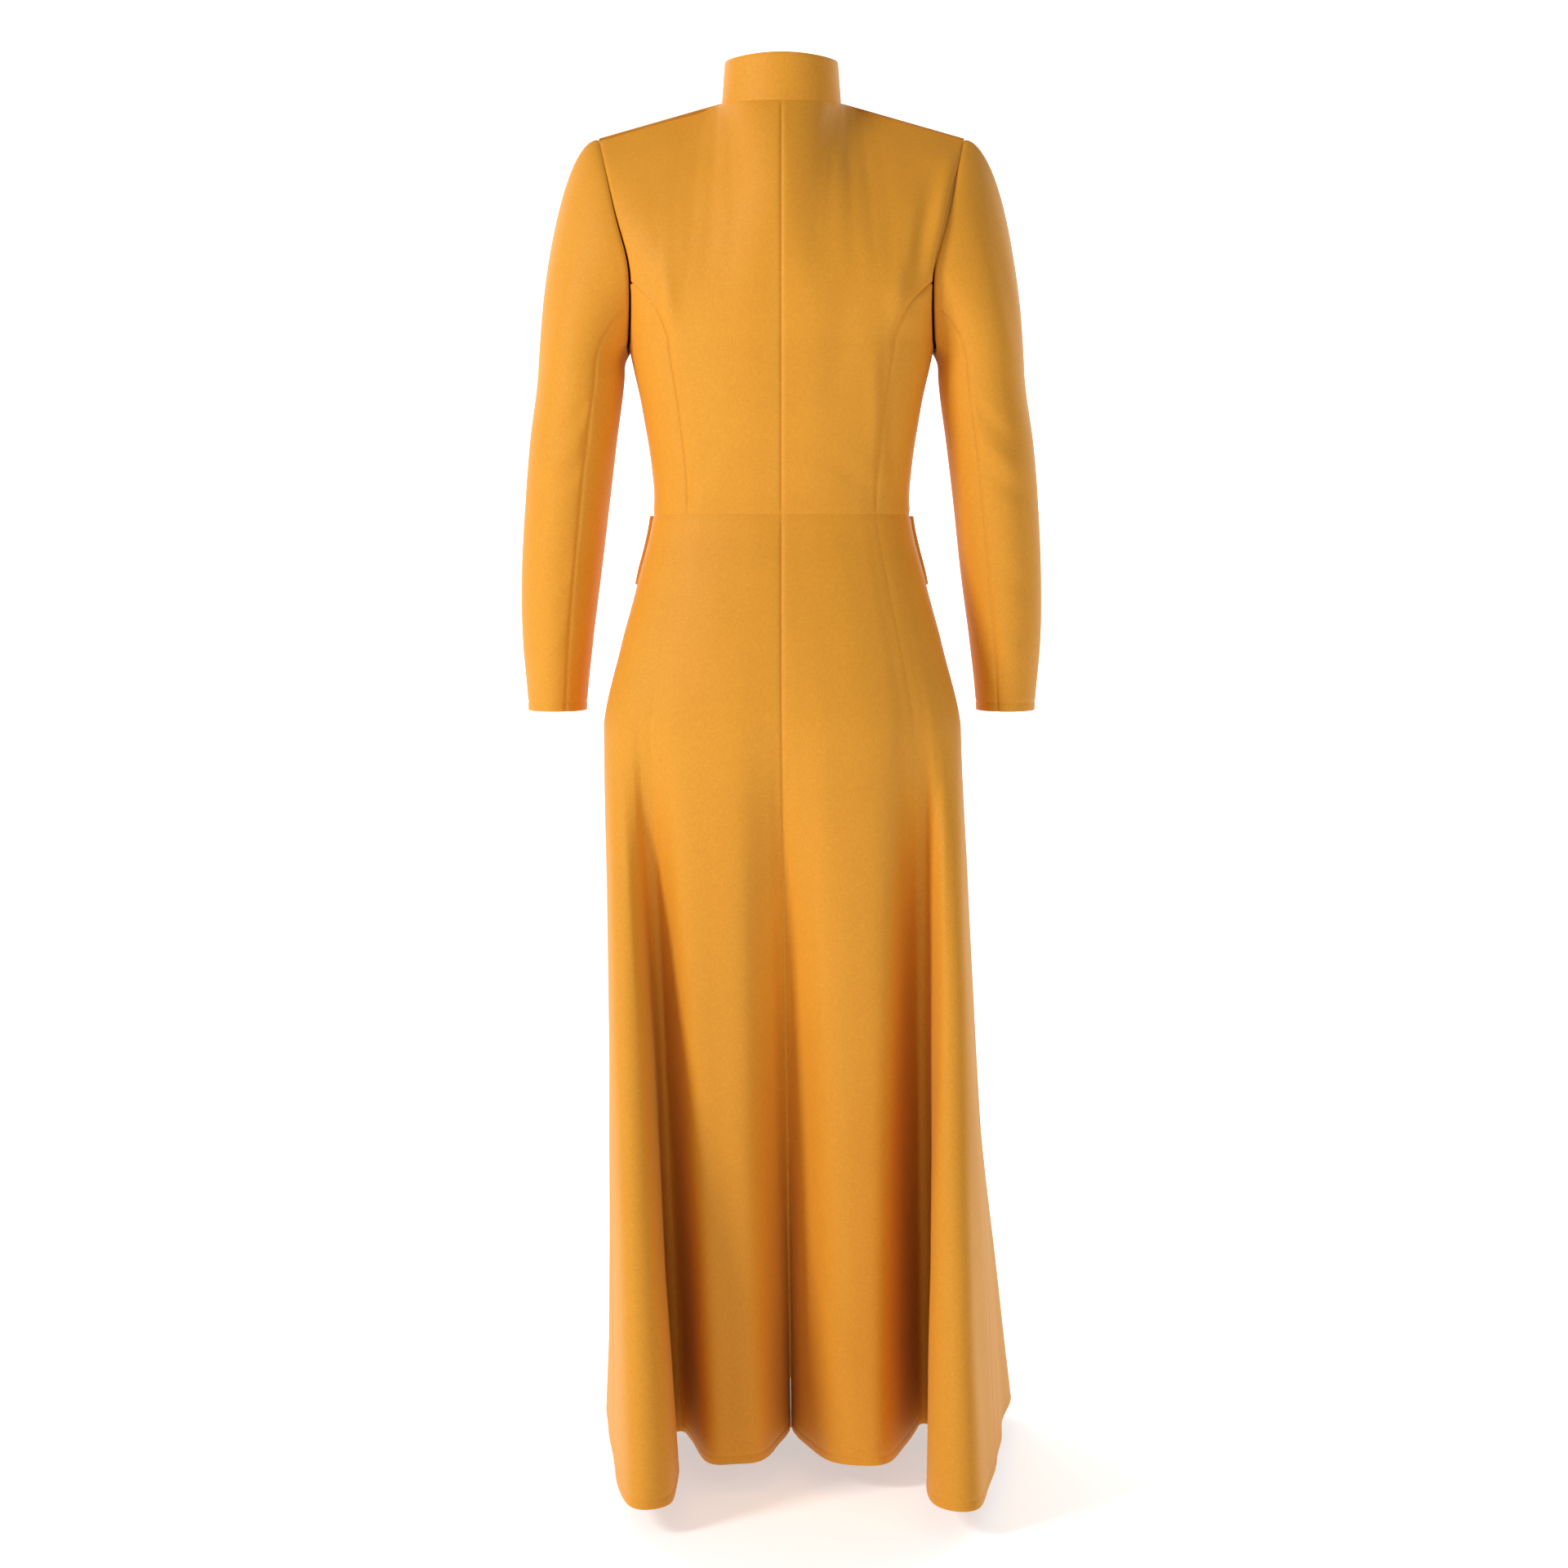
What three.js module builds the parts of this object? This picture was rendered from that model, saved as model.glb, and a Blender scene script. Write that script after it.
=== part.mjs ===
// A woman's fitted maxi coat with a stand collar, set-in sleeves and a flared skirt, made up as separate cut panels.
// Millimetres, +Z up. The back faces +Y, the front faces -Y and +X is the wearer's left.
// Heights are measured up from the hem while the shapes are worked out. The finished group is then lowered so that the
// origin lies in the middle of the neck opening, where the wearer's neck and shoulders carry the coat.
import * as THREE from "three";

// Overall sizes.
const NECK_HEIGHT = 1380; // hem to the back of the neck seam
const SHOULDER_WIDTH = 368; // from one sleeve head to the other
const SHOULDER_HEIGHT = 1349;
const UNDERARM_HEIGHT = 1145;
const WAIST_HEIGHT = 972;
const HIP_HEIGHT = 760; // where the skirt folds start
const SKIRT_FLARE = 1; // 1 is the full sweep of the hem
const BUST_WIDTH = 308;
const WAIST_WIDTH = 260;
const HIP_WIDTH = 362;
const BUST_DEPTH = [96, 114]; // back, front
const WAIST_DEPTH = [78, 92];
const HIP_DEPTH = [118, 118];
const NECK_WIDTH = 120;
const NECK_POINT_Y = -8;
const BACK_NECK_Y = 50;
const FRONT_NECK_Y = -66;
const FRONT_NECK_DROP = 50;
const COLLAR_HEIGHT = 46;
const ELBOW_HEIGHT = 1015;
const CUFF_HEIGHT = 772;
const CUFF_WIDTH = 60;
const CUFF_DEPTH = 92;

// Cloth and clearances.
const SHELL = 2.4; // wool cloth with its interlining
const LINING = 1.2;
const LINING_EASE = 0.96; // the lining hangs this far inside the cloth
const GAP = 0.4; // between neighbouring pieces, seams included
const OPENING_GAP = 2.2; // waist seam above the skirt fronts, which swing
const SLEEVE_GAP = 0.7; // armhole seam, which the sleeve turns about
const SLEEVE_EASE = 2.4; // and the extra clearance at the underarm
const LINING_SHORT = 18; // the lining ends this far above the hem and the cuff
const FRONT_EDGE = 18; // the right front laps past the centre by this much

// Trim.
const FLAP_DROP = 70;
const FLAP_THICK = 2.6;
const FLAP_STAND_OFF = 1.5;
const POCKET_DEPTH = 175;
const POCKET_THICK = 3;
const PAD_THICK = 7;
const BUTTON_RADIUS = 12;
const BUTTON_THICK = 5;
const BUTTON_SHANK = [3, 1.6]; // radius, length
// Each button's height and how far its shank stands off the curve of the front, which the flat panels lie just inside.
const BUTTONS = [[1318, 0.9], [1240, 0.6], [1165, 0.9], [1090, 0.9], [1015, 0.9], [930, 0.2], [845, 0.1]];
const LOOP_WIDTH = 36;
const LOOP_DROP = 14;
const LOOP_THICK = 3;
const LOOP_TOP = 2; // its sewn ends lie on the collar facing, just above the neck seam

const CLOTH = { color: 0xe3a236, roughness: 0.78, metalness: 0 };
const LINING_CLOTH = { color: 0xb9782a, roughness: 0.45, metalness: 0 };
const BUTTON_CLOTH = { color: 0xc98a2b, roughness: 0.6, metalness: 0 };
const PAD_FELT = { color: 0xd9cfbd, roughness: 0.95, metalness: 0 };
const LABEL_SATIN = { color: 0xefe9dc, roughness: 0.5, metalness: 0 };

const { cos, sin, PI, abs, sign, min, max } = Math;
const mix = (a, b, t) => a + (b - a) * t;
const clamp01 = (t) => min(1, max(0, t));
const smooth = (t) => t * t * (3 - 2 * t);
const vec = (x, y, z) => new THREE.Vector3(x, y, z);
// Evenly spaced values, both ends included.
const spread = (from, to, count) => Array.from({ length: count + 1 }, (_, i) => mix(from, to, i / count));

// Catmull-Rom through four values, and along a list whose ends are held.
function catmull(a, b, c, d, t) {
  const square = 2 * a - 5 * b + 4 * c - d;
  const cube = 3 * b - a - 3 * c + d;
  return 0.5 * (2 * b + (c - a) * t + square * t * t + cube * t ** 3);
}
function along(points, t) {
  const last = points.length - 1;
  const place = clamp01(t) * last;
  const k = min(last - 1, Math.floor(place));
  const at = (i) => points[min(last, max(0, i))];
  return at(k).map((_, n) => catmull(at(k - 1)[n], at(k)[n], at(k + 1)[n], at(k + 2)[n], place - k));
}

// The ring round the body. Station 0 is the centre back, 16 the centre front and 11 the side seam on the left;
// the right side is counted backwards from 32. TURN gives each station's angle from the back in half turns.
const STATIONS = 32;
const TURN = [0, 0.02, 0.06, 0.12, 0.18, 0.215, 0.24, 0.27, 0.31, 0.37, 0.44, 0.52, 0.62, 0.7, 0.78, 0.89, 1];
const BACK_SEAM = 6;
const BACK_ARMHOLE = 10;
const SIDE_SEAM = 11;
const FRONT_ARMHOLE = 12;
const FRONT_SEAM = 14;
const CENTRE_FRONT = 16;

// Where each station's fold ends at the hem: the centre-back fold, the flat back panel, a deep valley, the full
// side flute that rolls back over it, the side and the front.
const HEM_LEFT = [
  [-10, -89], [5, -42], [22, 24], [48, 38], [76, 30], [96, -38], [107, -58], [117, -38], [106, 62],
  [110, 168], [150, 176], [172, 40], [184, -95], [193, -205], [160, -262], [82, -286], [0, -292],
];
const HEM_RIGHT = [
  [-10, -89], [-28, -42], [-50, 22], [-80, 40], [-114, 24], [-140, -68], [-152, -88], [-163, -68], [-149, 50],
  [-150, 168], [-192, 182], [-220, 45], [-236, -105], [-252, -240], [-196, -292], [-92, -300], [0, -292],
];

// Half width, back depth and front depth of the fitted body at a height.
const BODY = [
  [HIP_HEIGHT, HIP_WIDTH / 2, ...HIP_DEPTH],
  [mix(HIP_HEIGHT, WAIST_HEIGHT, 0.42), mix(WAIST_WIDTH, HIP_WIDTH, 0.6) / 2, mix(WAIST_DEPTH[0], HIP_DEPTH[0], 0.72),
    mix(WAIST_DEPTH[1], HIP_DEPTH[1], 0.62)],
  [mix(HIP_HEIGHT, WAIST_HEIGHT, 0.74), mix(WAIST_WIDTH, HIP_WIDTH, 0.24) / 2, mix(WAIST_DEPTH[0], HIP_DEPTH[0], 0.34),
    mix(WAIST_DEPTH[1], HIP_DEPTH[1], 0.28)],
  [WAIST_HEIGHT, WAIST_WIDTH / 2, ...WAIST_DEPTH],
  [mix(WAIST_HEIGHT, UNDERARM_HEIGHT, 0.24), mix(WAIST_WIDTH, BUST_WIDTH, 0.03) / 2,
    mix(WAIST_DEPTH[0], BUST_DEPTH[0], 0.3), mix(WAIST_DEPTH[1], BUST_DEPTH[1], 0.5)],
  [mix(WAIST_HEIGHT, UNDERARM_HEIGHT, 0.63), mix(WAIST_WIDTH, BUST_WIDTH, 0.46) / 2,
    mix(WAIST_DEPTH[0], BUST_DEPTH[0], 0.75), mix(WAIST_DEPTH[1], BUST_DEPTH[1], 1.3)],
  [UNDERARM_HEIGHT, BUST_WIDTH / 2, ...BUST_DEPTH],
];
const ROUNDNESS = 0.85; // 1 would make the body an ellipse; less squares it a little

function bodySize(z) {
  const height = min(UNDERARM_HEIGHT, max(HIP_HEIGHT, z));
  let k = 0;
  while (k < BODY.length - 2 && BODY[k + 1][0] < height) k += 1;
  const at = (i) => BODY[min(BODY.length - 1, max(0, i))];
  const t = (height - at(k)[0]) / (at(k + 1)[0] - at(k)[0]);
  return [1, 2, 3].map((n) => catmull(at(k - 1)[n], at(k)[n], at(k + 1)[n], at(k + 2)[n], t));
}

function station(k, z) {
  const left = ((k % STATIONS) + STATIONS) % STATIONS <= CENTRE_FRONT;
  const i = left ? ((k % STATIONS) + STATIONS) % STATIONS : (STATIONS - k) % STATIONS;
  const [half, back, front] = bodySize(z);
  const turn = TURN[i] * PI;
  const x = (left ? 1 : -1) * half * sin(turn) ** ROUNDNESS;
  const y = (cos(turn) > 0 ? back : front) * sign(cos(turn)) * abs(cos(turn)) ** ROUNDNESS;
  const fall = clamp01((HIP_HEIGHT - z) / HIP_HEIGHT);
  const hem = (left ? HEM_LEFT : HEM_RIGHT)[i];
  const drop = SKIRT_FLARE * fall ** 0.92;
  return [mix(x, hem[0], drop), mix(y, hem[1], drop)];
}

function ring(w, z) {
  const k = Math.floor(w);
  const [a, b, c, d] = [k - 1, k, k + 1, k + 2].map((i) => station(i, z));
  return vec(catmull(a[0], b[0], c[0], d[0], w - k), catmull(a[1], b[1], c[1], d[1], w - k), z);
}

// The yoke above the underarm: two patches that share the shoulder seam. Each is filled in between its four edges.
const NECK_POINT = vec(NECK_WIDTH / 2, NECK_POINT_Y, NECK_HEIGHT + 4);
const SHOULDER_POINT = vec(SHOULDER_WIDTH / 2, NECK_POINT_Y, SHOULDER_HEIGHT);
const NECK_SHARE = 0.375; // how much of a patch's top edge is neck seam
const ARM_RISE = SHOULDER_HEIGHT - UNDERARM_HEIGHT;
const CHEST_HALF = BUST_WIDTH / 2;

function neckSeam(back, t) {
  const y = back ? BACK_NECK_Y : FRONT_NECK_Y;
  const z = back ? NECK_HEIGHT : NECK_HEIGHT - FRONT_NECK_DROP;
  const turn = (t * PI) / 2;
  const rise = back ? 1 - cos(turn) : sin(turn) ** 1.4;
  return vec(NECK_POINT.x * sin(turn), mix(NECK_POINT.y, y, cos(turn)), mix(z, NECK_POINT.z, rise));
}

function armholeSide(back, v) {
  const start = ring(back ? BACK_ARMHOLE : FRONT_ARMHOLE, UNDERARM_HEIGHT);
  const rise = (share) => UNDERARM_HEIGHT + ARM_RISE * share;
  const top = [SHOULDER_POINT.x, SHOULDER_POINT.y, SHOULDER_POINT.z];
  const bow = back ? [46, 55, 46, 20] : [-62, -64, -52, -30];
  return vec(...along([
    [start.x, start.y, start.z],
    [CHEST_HALF - 4, bow[0], rise(0.19)],
    [CHEST_HALF - 2, bow[1], rise(0.37)],
    [mix(CHEST_HALF, SHOULDER_POINT.x, 0.35), bow[2], rise(0.6)],
    [mix(CHEST_HALF, SHOULDER_POINT.x, 0.74), bow[3], rise(0.84)],
    top,
  ], v));
}

function patch(back, s, v) {
  const w = back ? BACK_ARMHOLE * s : CENTRE_FRONT - (CENTRE_FRONT - FRONT_ARMHOLE) * s;
  const bottom = ring(w, UNDERARM_HEIGHT);
  const corner = ring(back ? BACK_ARMHOLE : FRONT_ARMHOLE, UNDERARM_HEIGHT);
  const middle = ring(back ? 0 : CENTRE_FRONT, UNDERARM_HEIGHT);
  const neck = neckSeam(back, 0);
  const topEdge = s < NECK_SHARE
    ? neckSeam(back, s / NECK_SHARE)
    : NECK_POINT.clone().lerp(SHOULDER_POINT, (s - NECK_SHARE) / (1 - NECK_SHARE));
  const bulge = back ? [12, 40] : [-9, -24];
  const centre = vec(...[
    [middle.y, middle.z],
    [middle.y + bulge[0], mix(middle.z, neck.z, 0.38)],
    [neck.y + bulge[1], mix(middle.z, neck.z, 0.76)],
    [neck.y, neck.z],
  ].reduce((sum, [y, z], i) => {
    const share = [(1 - v) ** 3, 3 * v * (1 - v) ** 2, 3 * v * v * (1 - v), v ** 3][i];
    return [0, sum[1] + y * share, sum[2] + z * share];
  }, [0, 0, 0]));
  const side = armholeSide(back, v);
  const [hs, hv] = [smooth(clamp01(s)), smooth(clamp01(v))];
  const sum = vec(0, 0, 0)
    .addScaledVector(bottom, 1 - hv).addScaledVector(topEdge, hv)
    .addScaledVector(centre, 1 - hs).addScaledVector(side, hs);
  sum.addScaledVector(middle, -(1 - hs) * (1 - hv)).addScaledVector(neck, -(1 - hs) * hv);
  return sum.addScaledVector(corner, -hs * (1 - hv)).addScaledVector(SHOULDER_POINT, -hs * hv);
}

// One side of the bodice, back or front. s runs from the centre line to the armhole, and r from the waist (0) through
// the underarm (1) to the neck and shoulder (2). A negative s is past the centre line, on the other side.
function bodice(side, back, s, r) {
  const across = back ? BACK_ARMHOLE * s : CENTRE_FRONT - (CENTRE_FRONT - FRONT_ARMHOLE) * s;
  if (r < 1) return ring(side > 0 ? across : STATIONS - across, mix(WAIST_HEIGHT, UNDERARM_HEIGHT, r));
  const p = patch(back, abs(s), r - 1);
  return vec(p.x * side * (s < 0 ? -1 : 1), p.y, p.z);
}

const SIDE_LIMIT = {
  back: SIDE_SEAM / BACK_ARMHOLE,
  front: (CENTRE_FRONT - SIDE_SEAM) / (CENTRE_FRONT - FRONT_ARMHOLE),
};
const UNDERARM_DIP = 0.93; // the armhole seam dips to this share of the bodice height at the side seam

// The princess seam runs up from the waist and bends out into the armhole.
function princess(back, r) {
  const low = back ? BACK_SEAM / BACK_ARMHOLE : (CENTRE_FRONT - FRONT_SEAM) / (CENTRE_FRONT - FRONT_ARMHOLE);
  return mix(low, 1, clamp01((r - 1) / 0.3) ** 1.3);
}
function armholeLimit(back, r) {
  return r <= UNDERARM_DIP ? (back ? SIDE_LIMIT.back : SIDE_LIMIT.front) : 1;
}

const LOW_ROWS = [0, 0.25, 0.46, 0.68, UNDERARM_DIP, 1, 1.09, 1.18, 1.27];
const HIGH_ROWS = [1.4, 1.55, 1.7, 1.85, 2];
const HIP_SHARE = HIP_HEIGHT / WAIST_HEIGHT;
const FOLD_ROWS = spread(HIP_SHARE * 0.13, HIP_SHARE * 0.88, 5);
const SKIRT_ROWS = [0, LINING_SHORT / WAIST_HEIGHT, ...FOLD_ROWS, HIP_SHARE * 0.94, ...spread(HIP_SHARE, 1, 5)];

// A sheet of cloth as a closed solid. surface(a, b) gives its outer face, rows is the list of b, and stops(b) the list
// of a on that row. The sheet lies between the depths near and far inside the outer face, and trim shortens it at the
// first stop, the last stop, the first row and the last row, so that neighbours don't touch.
function sheet(surface, rows, stops, near, far, trim = SEAMS) {
  const step = 1e-3;
  const alongA = (a, b) => surface(a + step, b).sub(surface(a - step, b));
  const alongB = (a, b) => surface(a, min(rows.at(-1), b + step)).sub(surface(a, max(rows[0], b - step)));
  const speedB = (a, b) => surface(a, b + step).distanceTo(surface(a, b - step)) / (2 * step);
  const outer = [];
  const inner = [];
  rows.forEach((b, j) => {
    const row = [...stops(b)];
    const way = sign(row.at(-1) - row[0]);
    row[0] += (way * trim[0] * 2 * step) / alongA(row[0], b).length();
    row[row.length - 1] -= (way * trim[1] * 2 * step) / alongA(row.at(-1), b).length();
    for (const a of row) {
      const lift = j === 0 ? trim[2] / speedB(a, b) : j === rows.length - 1 ? -trim[3] / speedB(a, b) : 0;
      const p = surface(a, b + lift);
      const n = alongA(a, b).cross(alongB(a, b)).normalize().multiplyScalar(-surface.facing);
      const inward = surface.inward ? surface.inward(a, b, n) : n;
      outer.push(p.clone().addScaledVector(inward, near));
      inner.push(p.clone().addScaledVector(inward, far));
    }
  });
  const columns = stops(rows[0]).length - 1;
  const way = sign(stops(rows[0]).at(-1) - stops(rows[0])[0]);
  return closed(outer, inner, columns, rows.length - 1, false, surface.facing * way < 0);
}

// Joins an outer and an inner grid of points into one closed mesh. A looped grid has no edges along its columns.
function closed(outer, inner, columns, rows, looped, flip) {
  const wide = looped ? columns : columns + 1;
  const index = [];
  const face = (a, b, c) => index.push(...(flip ? [a, c, b] : [a, b, c]));
  const quad = (a, b, c, d) => {
    face(a, b, c);
    face(a, c, d);
  };
  const at = (i, j) => j * wide + (looped ? i % columns : i);
  const under = outer.length;
  for (let j = 0; j < rows; j += 1)
    for (let i = 0; i < columns; i += 1) {
      quad(at(i, j), at(i + 1, j), at(i + 1, j + 1), at(i, j + 1));
      quad(under + at(i, j), under + at(i, j + 1), under + at(i + 1, j + 1), under + at(i + 1, j));
    }
  for (let i = 0; i < columns; i += 1) {
    quad(at(i + 1, 0), at(i, 0), under + at(i, 0), under + at(i + 1, 0));
    quad(at(i, rows), at(i + 1, rows), under + at(i + 1, rows), under + at(i, rows));
  }
  if (!looped)
    for (let j = 0; j < rows; j += 1) {
      quad(at(0, j), at(0, j + 1), under + at(0, j + 1), under + at(0, j));
      quad(at(columns, j + 1), at(columns, j), under + at(columns, j), under + at(columns, j + 1));
    }
  const geometry = new THREE.BufferGeometry();
  const values = [...outer, ...inner].flatMap((p) => [p.x, p.y, p.z]);
  geometry.setAttribute("position", new THREE.Float32BufferAttribute(values, 3));
  geometry.setIndex(index);
  return geometry;
}

const coat = new THREE.Group();
coat.position.z = -NECK_HEIGHT;

function add(name, geometry, look) {
  const mesh = new THREE.Mesh(geometry, new THREE.MeshStandardMaterial(look));
  mesh.name = name;
  coat.add(mesh);
  return mesh;
}

const SIDES = [["left", 1], ["right", -1]];
const OUTER = [0, SHELL];
const INNER = [SHELL + LINING_EASE, SHELL + LINING_EASE + LINING];
const ALL_LAYERS = SHELL + LINING_EASE + LINING;
const SEAMS = [GAP / 2, GAP / 2, GAP / 2, GAP / 2];

// A bodice surface for sheet(). Near the shoulder seam the thickness direction turns to the seam's own, so that the
// back and the front meet in a mitre.
function bodiceSurface(side, back) {
  const surface = (s, r) => bodice(side, back, s, r);
  surface.facing = side * (back ? -1 : 1);
  surface.inward = (s, r, n) => {
    const lean = min(1, s / NECK_SHARE);
    const down = vec(-0.15 * side * lean, 0, -1).normalize();
    return n.lerp(down, smooth(clamp01((r - 1.7) / 0.3)) * (s > NECK_SHARE - 0.01 ? 1 : 0.5)).normalize();
  };
  return surface;
}

// The place on the front where the left and right fronts meet.
function frontEdge(side, r) {
  const reach = (s) => bodice(1, false, s, r).x;
  let [low, high] = [0, 0.5];
  for (let n = 0; n < 30; n += 1) {
    const middle = (low + high) / 2;
    if (reach(middle) < FRONT_EDGE) low = middle;
    else high = middle;
  }
  return side * low;
}

// Stops on one row of a bodice piece: from the centre to the neck point's line, on to the princess seam, and from there
// to the armhole. Linings take the same stops as the cloth over them, so the layers stay parallel.
const NECK_STOPS = 5;
const YOKE_STOPS = 4;
const SIDE_STOPS = 3;
const SEAM_END = 0.012; // above the princess seam's end a lining's last stops crowd into this share of the row

function centreStops(side, back, r) {
  const from = back ? 0 : frontEdge(side, r);
  return [...spread(from, NECK_SHARE, NECK_STOPS), ...spread(NECK_SHARE, princess(back, r), YOKE_STOPS).slice(1)];
}
const sideStops = (back, r) => spread(princess(back, r), armholeLimit(back, r), SIDE_STOPS);
function liningStops(side, back, r) {
  const seam = min(princess(back, r), armholeLimit(back, r) - SEAM_END);
  const centre = [...centreStops(side, back, r).slice(0, -1), seam];
  return [...centre, ...spread(seam, armholeLimit(back, r), SIDE_STOPS).slice(1)];
}

function bodicePanels(side, name) {
  const rows = [...LOW_ROWS, ...HIGH_ROWS];
  const swing = [GAP / 2, GAP / 2, OPENING_GAP / 2, GAP / 2];
  for (const [face, back] of [["back", true], ["front", false]]) {
    const surface = bodiceSurface(side, back);
    const trim = back ? SEAMS : swing;
    const sideName = `bodice_side_${face}_${name}`;
    add(`bodice_${face}_${name}`, sheet(surface, rows, (r) => centreStops(side, back, r), ...OUTER, trim), CLOTH);
    add(sideName, sheet(surface, LOW_ROWS, (r) => sideStops(back, r), ...OUTER, trim), CLOTH);
    add(`bodice_${face}_lining_${name}`,
      sheet(surface, rows, (r) => liningStops(side, back, r), ...INNER, trim), LINING_CLOTH);
  }
}

// The skirt. Stations run the same way round on both sides, and b is the share of the waist height.
function skirtSurface(side) {
  const surface = (w, b) => ring(side > 0 ? w : STATIONS - w, b * WAIST_HEIGHT);
  surface.facing = -side;
  return surface;
}

function skirtEdge(side, b) {
  const reach = (w) => ring(w, b * WAIST_HEIGHT).x;
  let [low, high] = [FRONT_SEAM, CENTRE_FRONT];
  for (let n = 0; n < 30; n += 1) {
    const middle = (low + high) / 2;
    if (reach(middle) > FRONT_EDGE) low = middle;
    else high = middle;
  }
  return side > 0 ? low : STATIONS - low;
}

function skirtPanels(side, name) {
  const surface = skirtSurface(side);
  const fixed = [GAP * 0.8, GAP * 0.8, 0, GAP / 2];
  const swing = [GAP, GAP / 2, 0, OPENING_GAP / 2];
  const between = (from, to) => () => spread(from, to, (from < SIDE_SEAM ? 2 : 1) * (to - from));
  const front = (b) => spread(FRONT_SEAM, skirtEdge(side, b), 3);
  const liningRows = SKIRT_ROWS.slice(1);
  const cut = [
    ["back", between(0, BACK_SEAM), fixed],
    ["side_back", between(BACK_SEAM, SIDE_SEAM), fixed],
    ["side_front", between(SIDE_SEAM, FRONT_SEAM), fixed],
    ["front", front, swing],
  ];
  for (const [face, stops, trim] of cut)
    add(`skirt_${face}_${name}`, sheet(surface, SKIRT_ROWS, stops, ...OUTER, trim), CLOTH);
  const lined = [
    ["back", between(0, SIDE_SEAM), fixed],
    ["side", between(SIDE_SEAM, FRONT_SEAM), fixed],
    ["front", front, swing],
  ];
  for (const [face, stops, trim] of lined)
    add(`skirt_${face}_lining_${name}`, sheet(surface, liningRows, stops, ...INNER, trim), LINING_CLOTH);
}

// The stand collar follows the neck seam and leans in a little as it rises. t runs from the centre back to the front.
function collarSurface(side) {
  const surface = (t, h) => {
    const seam = t < 1 ? neckSeam(true, t) : neckSeam(false, 2 - t);
    const lean = mix(0, 3, h);
    const round = vec(-seam.x, -seam.y + NECK_POINT_Y, 0).normalize();
    const height = COLLAR_HEIGHT * mix(1, 0.86, smooth(clamp01(abs(1 - abs(1 - t)))));
    return vec(side * (seam.x + round.x * lean), seam.y + round.y * lean, seam.z + COLLAR_LIFT + height * h);
  };
  surface.facing = -side;
  return surface;
}
const COLLAR_FRONT_EDGE = 1.97;
const COLLAR_LIFT = 2.7; // the collar stands on the bodice neck edge
const COLLAR_SPLIT = 1;
const COLLAR_ROWS = [0, 0.5, 1];

function collarPanels() {
  const trim = [GAP / 2, GAP / 2, GAP, 0];
  for (const [name, side] of SIDES) {
    const surface = collarSurface(side);
    const piece = (stops, layer) => sheet(surface, COLLAR_ROWS, () => stops, ...layer, trim);
    const back = spread(0, COLLAR_SPLIT, 5);
    const front = spread(COLLAR_SPLIT, COLLAR_FRONT_EDGE, 7);
    add(`collar_back_${name}`, piece(back, OUTER), CLOTH);
    add(`collar_front_${name}`, piece(front, OUTER), CLOTH);
    add(`collar_facing_${name}`, piece([...back, ...front.slice(1)], INNER), CLOTH);
  }
}

// Sleeves. t runs round the sleeve in sixteenths from the shoulder point through the back, and b from the armhole seam
// (0) past the underarm level (1) to the cuff (2).
const SLEEVE_SPAN = 16;
const SLEEVE_TOP = UNDERARM_HEIGHT - 33;
const SLEEVE_SIZES = [
  // share of the way down, middle x, middle y, half width, half depth
  [0, 202, -6, 43.8, 60],
  [0.2, 211, -8, 44, 59],
  [0.39, 218, -13, 43, 56],
  [0.58, 224, -21, 41, 53],
  [0.78, 229, -31, 36.5, 50],
  [1, 231, -42, CUFF_WIDTH / 2, CUFF_DEPTH / 2],
];

function armhole(t) {
  const turn = ((t % SLEEVE_SPAN) + SLEEVE_SPAN) % SLEEVE_SPAN;
  if (turn <= 6) return armholeSide(true, 1 - turn / 6);
  if (turn >= 10) return armholeSide(false, (turn - 10) / 6);
  const w = mix(BACK_ARMHOLE, FRONT_ARMHOLE, (turn - 6) / 4);
  const dip = 1 - abs(turn - 8) / 2;
  return ring(w, mix(UNDERARM_HEIGHT, mix(WAIST_HEIGHT, UNDERARM_HEIGHT, UNDERARM_DIP), dip));
}

function sleeveSize(z) {
  const share = clamp01((SLEEVE_TOP - z) / (SLEEVE_TOP - CUFF_HEIGHT));
  let k = 0;
  while (k < SLEEVE_SIZES.length - 2 && SLEEVE_SIZES[k + 1][0] < share) k += 1;
  const at = (i) => SLEEVE_SIZES[min(SLEEVE_SIZES.length - 1, max(0, i))];
  const t = (share - at(k)[0]) / (at(k + 1)[0] - at(k)[0]);
  return [1, 2, 3, 4].map((n) => catmull(at(k - 1)[n], at(k)[n], at(k + 1)[n], at(k + 2)[n], t));
}

function sleevePoint(t, z) {
  const [x, y, wide, deep] = sleeveSize(z);
  const reach = SHOULDER_WIDTH / 2 - 184;
  const turn = (t / SLEEVE_SPAN) * 2 * PI;
  return vec(x + reach + wide * cos(turn), y + deep * sin(turn), z);
}

function sleeve(t, b) {
  if (b >= 1) return sleevePoint(t, mix(SLEEVE_TOP, CUFF_HEIGHT, b - 1));
  const turn = (t / SLEEVE_SPAN) * 2 * PI;
  const over = (1 + cos(turn)) / 2; // 1 at the shoulder point, 0 at the underarm
  const from = armhole(t);
  const to = sleevePoint(t, SLEEVE_TOP);
  const leave = vec(mix(14, 110, over), 22 * sin(turn), -30 * (1 - over));
  from.x += SLEEVE_EASE * (1 - over);
  const arrive = vec(4 * over, 0, -mix(33, 250, over));
  return from.multiplyScalar((1 + 2 * b) * (1 - b) ** 2)
    .addScaledVector(leave, b * (1 - b) ** 2)
    .addScaledVector(to, b * b * (3 - 2 * b))
    .addScaledVector(arrive, b * b * (b - 1));
}

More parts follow.
